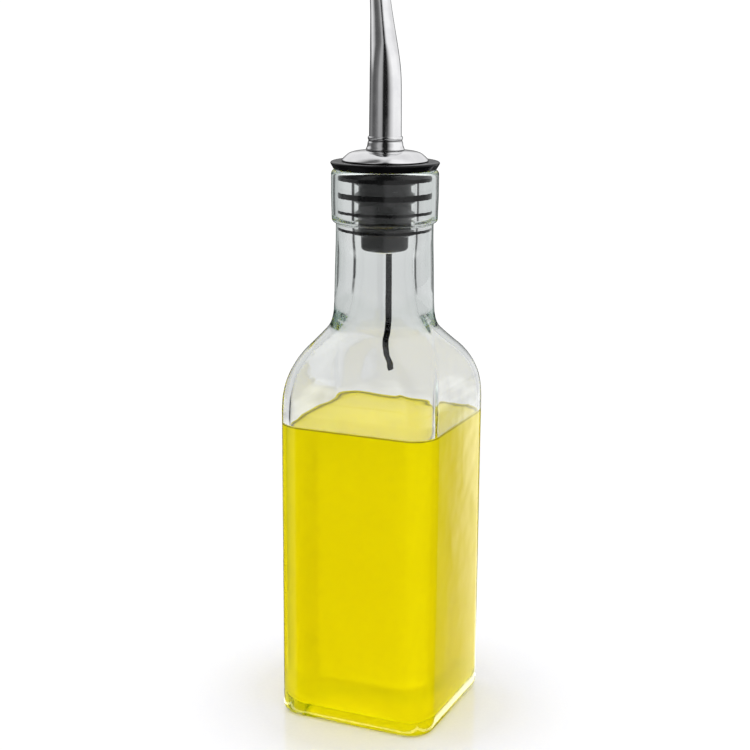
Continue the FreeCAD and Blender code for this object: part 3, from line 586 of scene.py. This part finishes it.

# oil: clear yellow liquid, coloured by the light's path through it, with painted shade in a thin band along its
# meniscus
m_oil, nt, p = material("oil_yellow_clear")
painted_meniscus_shade = nt.nodes.new("ShaderNodeAttribute")
painted_meniscus_shade.attribute_name = "painted_meniscus_shade"
cloud = noise_tex(nt, 26, 3, 0.5, object_coords(nt))
body = ramp(nt, cloud.outputs["Fac"], [(0.3, (0.955, 0.848, 0.0015)), (0.7, (0.985, 0.882, 0.0025))])
# painted shade: dark olive colour where the meniscus band is set
tone = nt.nodes.new("ShaderNodeMix")
tone.data_type = "RGBA"
nt.links.new(painted_meniscus_shade.outputs["Fac"], tone.inputs["Factor"])
nt.links.new(body.outputs[0], tone.inputs[6])
tone.inputs[7].default_value = (0.09, 0.085, 0.004, 1)
nt.links.new(tone.outputs[2], p.inputs["Base Color"])
p.inputs["Transmission Weight"].default_value = 0.45
p.inputs["IOR"].default_value = 1.47
wetted_ior(nt, p, 1.47)
oc = object_coords(nt)
w1 = noise_tex(nt, 35, 2, 0.5, oc)
nt.links.new(map_range(nt, w1.outputs["Fac"], 0.3, 0.7, 0.0, 0.006), p.inputs["Roughness"])
nt.links.new(bump(nt, w1.outputs["Fac"], 0.05, 0.0004), p.inputs["Normal"])
va = node(nt, "ShaderNodeVolumeAbsorption", Density=120.0)
va.inputs["Color"].default_value = (0.965, 0.945, 0.0, 1)
nt.links.new(va.outputs[0], nt.nodes["Material Output"].inputs["Volume"])

# steel: polished, with fine draw lines along the tube, a little haze, and painted shade in its recesses
m_steel, nt, p = material("steel_polished")
p.inputs["Metallic"].default_value = 1.0
oc = object_coords(nt)
mp = node(nt, "ShaderNodeMapping")
mp.inputs["Scale"].default_value = (1, 1, 0.03)
nt.links.new(oc, mp.inputs["Vector"])
lines = noise_tex(nt, 1500, 2, 0.6, mp.outputs[0])
haze = noise_tex(nt, 180, 4, 0.6, oc)
clean = ramp(nt, haze.outputs["Fac"], [(0.3, (0.70, 0.70, 0.71)), (0.7, (0.82, 0.82, 0.82))])
painted_recess_shade = nt.nodes.new("ShaderNodeAttribute")
painted_recess_shade.attribute_name = "painted_recess_shade"
# painted shade: near-black colour where the recess mask is set
mixed = nt.nodes.new("ShaderNodeMix")
mixed.data_type = "RGBA"
nt.links.new(painted_recess_shade.outputs["Fac"], mixed.inputs["Factor"])
nt.links.new(clean.outputs[0], mixed.inputs[6])
mixed.inputs[7].default_value = (0.05, 0.05, 0.05, 1)
nt.links.new(mixed.outputs[2], p.inputs["Base Color"])
nt.links.new(map_range(nt, haze.outputs["Fac"], 0.3, 0.75, 0.07, 0.17), p.inputs["Roughness"])
nt.links.new(bump(nt, lines.outputs["Fac"], 0.10, 0.00003), p.inputs["Normal"])

# stopper: dark moulded elastomer with a fine grain and a dull bloom
m_rub, nt, p = material("stopper_elastomer")
p.inputs["Specular IOR Level"].default_value = 0.10
oc = object_coords(nt)
grain = noise_tex(nt, 2600, 3, 0.6, oc)
patch = noise_tex(nt, 240, 4, 0.6, oc)
nt.links.new(ramp(nt, patch.outputs["Fac"], [(0.3, (0.0012, 0.0012, 0.0013)), (0.7, (0.0032, 0.0032, 0.0034))]).outputs[0], p.inputs["Base Color"])
nt.links.new(map_range(nt, patch.outputs["Fac"], 0.3, 0.7, 0.12, 0.22), p.inputs["Roughness"])
nt.links.new(bump(nt, grain.outputs["Fac"], 0.25, 0.00005), p.inputs["Normal"])

# air tube: thin drawn steel, dark, with a film of oil
m_air, nt, p = material("air_tube_dark_steel")
p.inputs["Metallic"].default_value = 1.0
oc = object_coords(nt)
patch = noise_tex(nt, 300, 3, 0.6, oc)
nt.links.new(ramp(nt, patch.outputs["Fac"], [(0.3, (0.004, 0.004, 0.004)), (0.75, (0.014, 0.014, 0.014))]).outputs[0], p.inputs["Base Color"])
nt.links.new(map_range(nt, patch.outputs["Fac"], 0.3, 0.7, 0.22, 0.38), p.inputs["Roughness"])

for ob, m in ((bottle, m_glass), (oil, m_oil), (stopper, m_rub), (dome, m_steel), (ferrule, m_steel),
              (spout, m_steel), (throat, m_steel), (breather, m_air)):
    ob.data.materials.clear()
    ob.data.materials.append(m)


def mark_wetted(ob, test):
    """Marks the faces where oil and glass touch, from each face's middle in millimetres."""
    at = ob.data.attributes.new("wetted", "FLOAT", "FACE")
    at.data.foreach_set("value", [1.0 if test(f.center / MM, f) else 0.0 for f in ob.data.polygons])


inner_from = (len(outer_sections()) - 1) * N_ROUND
pole_from = (len(outer_sections()) + len(inner_sections()) - 1) * N_ROUND
mark_wetted(bottle, lambda c, f: c[2] < OIL_LEVEL + MENISCUS * 0.6 and inner_from <= f.index and not (pole_from <= f.index < pole_from + N_ROUND))
mark_wetted(oil, lambda c, f: not (c[2] > OIL_LEVEL - 0.5 and f.normal[2] > 0.2) and not (c[2] > OIL_LEVEL + MENISCUS * 0.62))

# painted shade: the steel's colour goes near black in the ring's groove, at the ring's foot on the dome and under the
# edge of the dome
for ob in (ferrule, dome, spout, throat):
    at = ob.data.attributes.new("painted_recess_shade", "FLOAT", "POINT")
    vals = []
    for v in ob.data.vertices:
        z, r = v.co[2] / MM, math.hypot(v.co[0], v.co[1]) / MM
        g = 0.0
        if ob is ferrule:
            g = max(0.0, 1 - abs(z - (DT + 2.78)) / 0.42) * 0.95 + max(0.0, 1 - abs(z - DT) / 0.30) * 0.8
        if ob is dome:
            g = max(0.0, 1 - abs(z - DB) / 0.36) if r > DR - 0.9 else 0.0
        vals.append(min(1.0, g))
    at.data.foreach_set("value", vals)

# painted shade: the oil's colour goes dark in a thin band where it climbs the wall
at = oil.data.attributes.new("painted_meniscus_shade", "FLOAT", "POINT")
at.data.foreach_set("value", [
    max(0.0, 1.0 - abs(v.co[2] / MM - (OIL_LEVEL + 0.5)) / 0.30) * (1.0 if max(abs(v.co[0]), abs(v.co[1])) / MM > IN_HALF - 2.5 else 0.0)
    for v in oil.data.vertices])

# --------------------------------------------------------------------------- studio
bm = bmesh.new()
bmesh.ops.create_circle(bm, cap_ends=True, segments=128, radius=0.9)
me = bpy.data.meshes.new("studio_floor")
bm.to_mesh(me)
bm.free()
floor = bpy.data.objects.new("studio_floor", me)
floor.location = (0, 0, -0.00002)
scene.collection.objects.link(floor)
m_floor = bpy.data.materials.new("pale_floor")
m_floor.use_nodes = True
floor.data.materials.append(m_floor)

# camera, at the height, lean and focal length of the view this object is shown in
AZ = math.radians(23.82)
cam = bpy.data.cameras.new("view_camera")
cam_ob = bpy.data.objects.new("view_camera", cam)
scene.collection.objects.link(cam_ob)
pitch, roll = 0.2332, 0.006
right = np.array([1.0, 0, 0])
fwd = np.array([0, math.cos(pitch), -math.sin(pitch)])
up = np.array([0, math.sin(pitch), math.cos(pitch)])
r2_, u2_ = math.cos(roll) * right + math.sin(roll) * up, math.cos(roll) * up - math.sin(roll) * right
rz = np.array([[math.cos(AZ), -math.sin(AZ), 0], [math.sin(AZ), math.cos(AZ), 0], [0, 0, 1]])
place = rz @ np.array([-2.655, -459.85, 216.0]) * MM
R = np.stack([rz @ r2_, rz @ u2_, rz @ -fwd], 1)
mat = Matrix.Identity(4)
for i in range(3):
    for j in range(3):
        mat[i][j] = R[i, j]
    mat[i][3] = place[i]
cam_ob.matrix_world = mat
cam.sensor_width = 36.0
cam.lens = 1530.0 / 750.0 * 36.0
cam.clip_start = 0.01
cam.clip_end = 20
scene.camera = cam_ob

# world: white to the eye and for the soft fill; reflections and refractions meet a studio of bright and dark flats
world = bpy.data.worlds.new("studio")
scene.world = world
world.use_nodes = True
world.cycles.sampling_method = "NONE"
nt = world.node_tree
nt.nodes.clear()
GLOSSY = [(-180, 0.25), (-168, 0.06), (-144, 0.06), (-134, 0.25), (-112, 0.25), (-100, 0.12), (-82, 0.12), (-62, 0.22), (-50, 0.46), (-42, 0.50), (-27, 0.45), (-17, 0.015),
          (12, 0.015), (22, 0.25), (36, 0.7), (60, 1.15), (120, 1.15), (140, 1.0), (148, 0.30), (156, 0.10), (170, 0.10), (180, 0.25)]
LOW = [(-180, 0.20), (-160, 0.06), (-104, 0.08), (-98, 0.45), (-64, 0.50), (-56, 0.015),
       (-6, 0.015), (4, 0.45), (60, 0.50), (90, 0.35), (120, 0.50), (133.5, 0.8), (144, 1.1), (150, 0.06), (170, 0.06), (180, 0.20)]
SHEET = [(-180, 0.20), (-160, 0.06), (-104, 0.06), (-98, 0.30), (-64, 0.40), (-56, 0.015), (106, 0.03), (112, 0.15), (120, 0.35), (126, 0.6),
         (129, 0.9), (132, 1.6), (136, 1.8), (144, 1.8), (150, 0.06), (170, 0.06), (180, 0.20)]
PASSED = [(-180, 0.72), (-158, 0.74), (-120, 0.74), (-115, 0.04), (-108, 0.04), (-103, 0.60), (-72, 0.64), (-60, 0.66),
          (0, 0.70), (80, 0.82), (110, 0.76), (114, 0.08), (119, 0.08), (123, 0.64), (150, 0.72), (180, 0.72)]


def deg(d):
    return 0.5 + d / 360.0


class Studio:
    """Nodes that turn a direction, or a place on the floor, into the brightness of the studio that way."""

    def __init__(self, nt, source):
        self.nt = nt
        rot = node(nt, "ShaderNodeVectorRotate", rotation_type="Z_AXIS")
        rot.inputs["Angle"].default_value = -AZ
        nt.links.new(source, rot.inputs["Vector"])
        sep = nt.nodes.new("ShaderNodeSeparateXYZ")
        nt.links.new(rot.outputs[0], sep.inputs[0])
        # a turn from 0 to 1: 0.5 faces the front, growing towards the right of someone looking at the front
        a = self.math("ARCTAN2", sep.outputs["X"], self.math("MULTIPLY", sep.outputs["Y"], -1.0))
        self.turn = self.math("ADD", self.math("DIVIDE", a, 2 * math.pi), 0.5)
        self.path = nt.nodes.new("ShaderNodeLightPath")

    def math(self, op, a, b=None):
        n = self.nt.nodes.new("ShaderNodeMath")
        n.operation = op
        for i, v in enumerate((a, b)):
            if v is None:
                continue
            if isinstance(v, (int, float)):
                n.inputs[i].default_value = v
            else:
                self.nt.links.new(v, n.inputs[i])
        return n.outputs[0]

    def strip(self, stops):
        r = self.nt.nodes.new("ShaderNodeValToRGB")
        while len(r.color_ramp.elements) < len(stops):
            r.color_ramp.elements.new(0.5)
        for e, (d, v) in zip(r.color_ramp.elements, stops):
            e.position = deg(d)
            e.color = (v, v, v * 1.012, 1)
        self.nt.links.new(self.turn, r.inputs[0])
        return r.outputs[0]

    def pick(self, fac, a, b):
        n = self.nt.nodes.new("ShaderNodeMix")
        n.data_type = "RGBA"
        if isinstance(fac, (int, float)):
            n.inputs["Factor"].default_value = fac
        else:
            self.nt.links.new(fac, n.inputs["Factor"])
        for sock, v in ((n.inputs[6], a), (n.inputs[7], b)):
            if isinstance(v, tuple):
                sock.default_value = v
            else:
                self.nt.links.new(v, sock)
        return n.outputs[2]


out = nt.nodes.new("ShaderNodeOutputWorld")
bg = nt.nodes.new("ShaderNodeBackground")
nt.links.new(bg.outputs[0], out.inputs[0])
tc = nt.nodes.new("ShaderNodeTexCoord")
st = Studio(nt, tc.outputs["Generated"])
rise = st.nt.nodes.new("ShaderNodeSeparateXYZ")
nt.links.new(tc.outputs["Generated"], rise.inputs[0])
high = map_range(nt, rise.outputs["Z"], -0.098, -0.086, 0.0, 1.0)
refl = st.pick(high, st.strip(LOW), st.strip(GLOSSY))
behind = st.math("MULTIPLY", map_range(nt, rise.outputs["Z"], 0.08, 0.24, 0.0, 1.0), st.strip([(-180, 1.0), (-125, 1.0), (-100, 0.0), (100, 0.0), (125, 1.0), (180, 1.0)]))
refl = st.pick(map_range(nt, rise.outputs["Z"], 0.985, 0.998, 0.0, 1.0), refl, (0.66, 0.66, 0.67, 1))
refl = st.pick(behind, refl, (0.95, 0.95, 0.96, 1))
lost = st.math("MAXIMUM", st.math("GREATER_THAN", st.path.outputs["Glossy Depth"], 1.5), map_range(nt, rise.outputs["Z"], 0.0, 0.12, 0.0, 1.0))
c = st.pick(st.path.outputs["Is Transmission Ray"], refl, st.pick(lost, st.strip(PASSED), (0.66, 0.67, 0.67, 1)))
spread = st.math("GREATER_THAN", st.path.outputs["Diffuse Depth"], 0.5)
soft = st.pick(st.path.outputs["Is Transmission Ray"], (1.24, 1.24, 1.25, 1), (2.70, 2.75, 2.77, 1))
c = st.pick(spread, c, soft)
c = st.pick(st.path.outputs["Is Camera Ray"], c, (1.05, 1.05, 1.05, 1))
nt.links.new(c, bg.inputs["Color"])
bg.inputs["Strength"].default_value = 1.0

# floor: a lit pale sheet. Seen through the glass it is a painted glow of the sheet; in reflections it is a painted glow
# that shows the studio round it, a bright side panel and a bright strip beside the foot.
nt = m_floor.node_tree
p = nt.nodes["Principled BSDF"]
mo = nt.nodes["Material Output"]
geo = nt.nodes.new("ShaderNodeTexCoord")
fleck = noise_tex(nt, 900, 2, 0.5, geo.outputs["Object"])
nt.links.new(ramp(nt, fleck.outputs["Fac"], [(0.3, (0.78, 0.785, 0.85)), (0.7, (0.80, 0.805, 0.87))]).outputs[0], p.inputs["Base Color"])
p.inputs["Roughness"].default_value = 0.08
p.inputs["Specular IOR Level"].default_value = 0.8
fs = Studio(nt, geo.outputs["Object"])
dist = nt.nodes.new("ShaderNodeVectorMath")
dist.operation = "LENGTH"
nt.links.new(geo.outputs["Object"], dist.inputs[0])
near = map_range(nt, dist.outputs["Value"], 0.26, 0.42, 1.0, 0.0)
# painted glow: to transmission rays the floor glows, twice as strong right under the foot
glow = nt.nodes.new("ShaderNodeEmission")
nt.links.new(fs.pick(near, fs.strip(PASSED), (1.25, 1.25, 1.25, 1)), glow.inputs["Color"])
nt.links.new(map_range(nt, dist.outputs["Value"], 0.024, 0.034, 2.0, 1.0), glow.inputs["Strength"])
floor_painted_reflection = nt.nodes.new("ShaderNodeEmission")
# painted reflection: to glossy rays the floor glows as a soft-edged side panel lying behind and to the right, so the
# panel is laid out along and across its own length
fsep = nt.nodes.new("ShaderNodeSeparateXYZ")
lay = node(nt, "ShaderNodeVectorRotate", rotation_type="Z_AXIS")
lay.inputs["Angle"].default_value = -AZ
nt.links.new(geo.outputs["Object"], lay.inputs["Vector"])
nt.links.new(lay.outputs[0], fsep.inputs[0])
across = fs.math("MULTIPLY", fs.math("SUBTRACT", fsep.outputs["X"], fsep.outputs["Y"]), 0.7071)
along = fs.math("MULTIPLY", fs.math("ADD", fsep.outputs["X"], fsep.outputs["Y"]), 0.7071)
painted_side_panel = ramp(nt, map_range(nt, across, -0.030, 0.060, 0.0, 1.0), [(0.0, (0.1, 0.1, 0.1)), (0.20, (0.1, 0.1, 0.1)), (0.29, (2.0, 2.0, 2.02)),
             (0.42, (1.9, 1.9, 1.92)), (0.49, (1.35, 1.35, 1.37)), (0.58, (0.45, 0.45, 0.46)), (0.64, (0.22, 0.22, 0.22)), (0.70, (0.07, 0.07, 0.07)), (0.76, (0.02, 0.02, 0.02))])
sheet = fs.pick(map_range(nt, along, 0.003, 0.009, 0.0, 1.0), fs.strip(SHEET), painted_side_panel.outputs[0])
sheet = fs.pick(map_range(nt, dist.outputs["Value"], 0.42, 0.56, 0.0, 1.0), sheet, fs.strip(GLOSSY))
nt.links.new(sheet, floor_painted_reflection.inputs["Color"])
# painted highlight: to glossy rays the strip of floor right beside the foot glows white, the brightest thing the
# rounded heel reflects
flat = nt.nodes.new("ShaderNodeSeparateXYZ")
nt.links.new(geo.outputs["Object"], flat.inputs[0])
side = fs.math("MAXIMUM", fs.math("ABSOLUTE", flat.outputs["X"]), fs.math("ABSOLUTE", flat.outputs["Y"]))
heel_highlight_band = fs.math("MULTIPLY", map_range(nt, side, 0.0266, 0.0272, 0.0, 1.0), map_range(nt, side, 0.0284, 0.0294, 1.0, 0.0))
painted_heel_highlight = nt.nodes.new("ShaderNodeEmission")
painted_heel_highlight.inputs["Color"].default_value = (1, 1, 1, 1)
nt.links.new(fs.math("MULTIPLY", heel_highlight_band, 3.0), painted_heel_highlight.inputs["Strength"])
both = nt.nodes.new("ShaderNodeAddShader")
nt.links.new(floor_painted_reflection.outputs[0], both.inputs[0])
nt.links.new(painted_heel_highlight.outputs[0], both.inputs[1])
m1 = nt.nodes.new("ShaderNodeMixShader")
nt.links.new(fs.path.outputs["Is Glossy Ray"], m1.inputs[0])
nt.links.new(p.outputs[0], m1.inputs[1])
nt.links.new(both.outputs[0], m1.inputs[2])
m2 = nt.nodes.new("ShaderNodeMixShader")
nt.links.new(fs.path.outputs["Is Transmission Ray"], m2.inputs[0])
nt.links.new(m1.outputs[0], m2.inputs[1])
nt.links.new(glow.outputs[0], m2.inputs[2])
# from 40 to 74 mm out, camera rays see the sheet fade into an even white glow, as white as the backdrop
far = nt.nodes.new("ShaderNodeEmission")
far.inputs["Color"].default_value = (1.05, 1.05, 1.05, 1)
m3 = nt.nodes.new("ShaderNodeMixShader")
nt.links.new(fs.math("MULTIPLY", fs.path.outputs["Is Camera Ray"], map_range(nt, dist.outputs["Value"], 0.040, 0.074, 0.0, 1.0)), m3.inputs[0])
nt.links.new(m2.outputs[0], m3.inputs[1])
nt.links.new(far.outputs[0], m3.inputs[2])
nt.links.new(m3.outputs[0], mo.inputs["Surface"])

scene.view_settings.view_transform = "Standard"
scene.view_settings.look = "None"
scene.view_settings.exposure = 0.0
scene.view_settings.gamma = 1.0
scene.cycles.max_bounces = 44
scene.cycles.transmission_bounces = 44
scene.cycles.glossy_bounces = 44
scene.cycles.diffuse_bounces = 4
scene.cycles.caustics_reflective = True
scene.cycles.caustics_refractive = True
